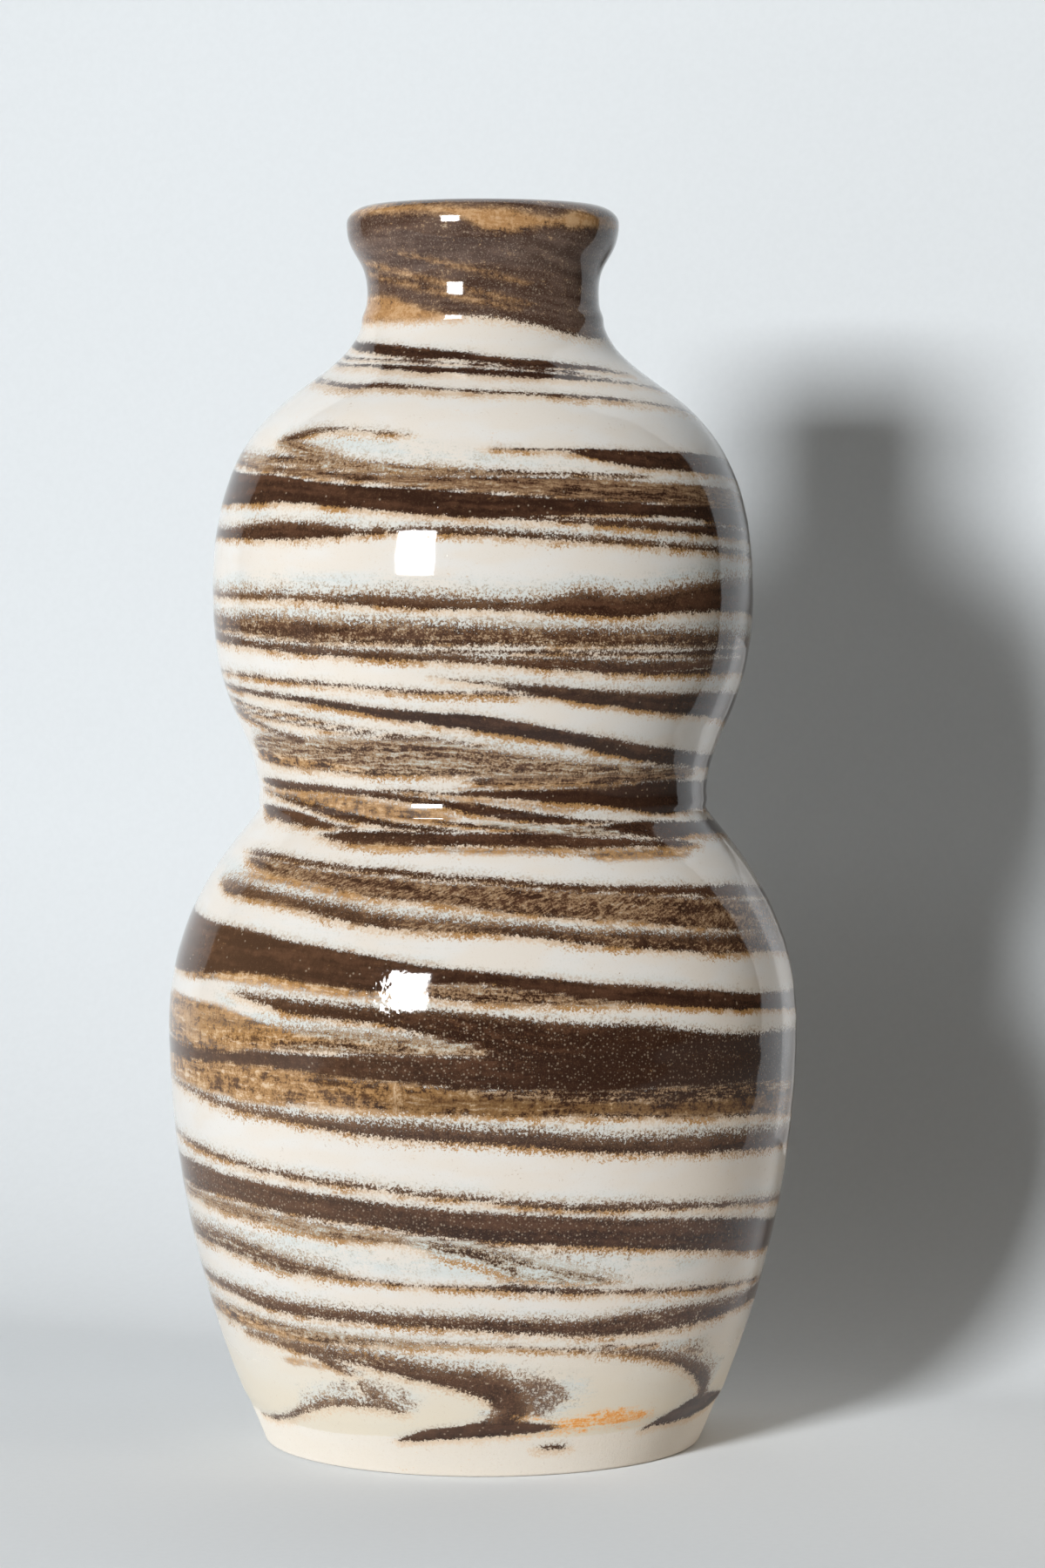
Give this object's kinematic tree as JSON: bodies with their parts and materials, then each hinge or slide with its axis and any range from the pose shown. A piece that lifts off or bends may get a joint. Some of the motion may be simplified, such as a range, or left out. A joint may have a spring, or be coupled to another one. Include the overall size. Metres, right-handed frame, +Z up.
{
  "type": "double gourd vase",
  "caption": "Double-gourd bottle vase: a wide lower bulb, a smaller upper bulb, a short waisted neck with a rolled lip, marbled cream and brown under a clear glaze.",
  "frame": {"origin": "centre of the foot ring's resting face, on the vase's axis", "axes": "+Z up along the vase's axis, which is its axis of symmetry and its longest side; +X to the right and -Y towards the viewer of the picture"},
  "size_m": [0.1276, 0.1276, 0.25],
  "materials": {
    "marbled_clay": "matte, bare fired stoneware, cream marbled with chocolate brown",
    "brown_clay": "matte, fired chocolate-brown stoneware",
    "slip": "matte, fired slip",
    "glazed_marbling": "glossy clear glaze over the marbled clay, satin near the foot",
    "glazed_lining": "glossy clear glaze over the marbled clay, inside"
  },
  "bodies": {
    "root": {"lower_bulb": "marbled_clay", "waist_slip": "slip", "upper_bulb": "marbled_clay", "neck_slip": "slip", "neck_and_lip": "brown_clay", "glaze_outside": "glazed_marbling", "glaze_inside": "glazed_lining"}
  },
  "joints": []
}
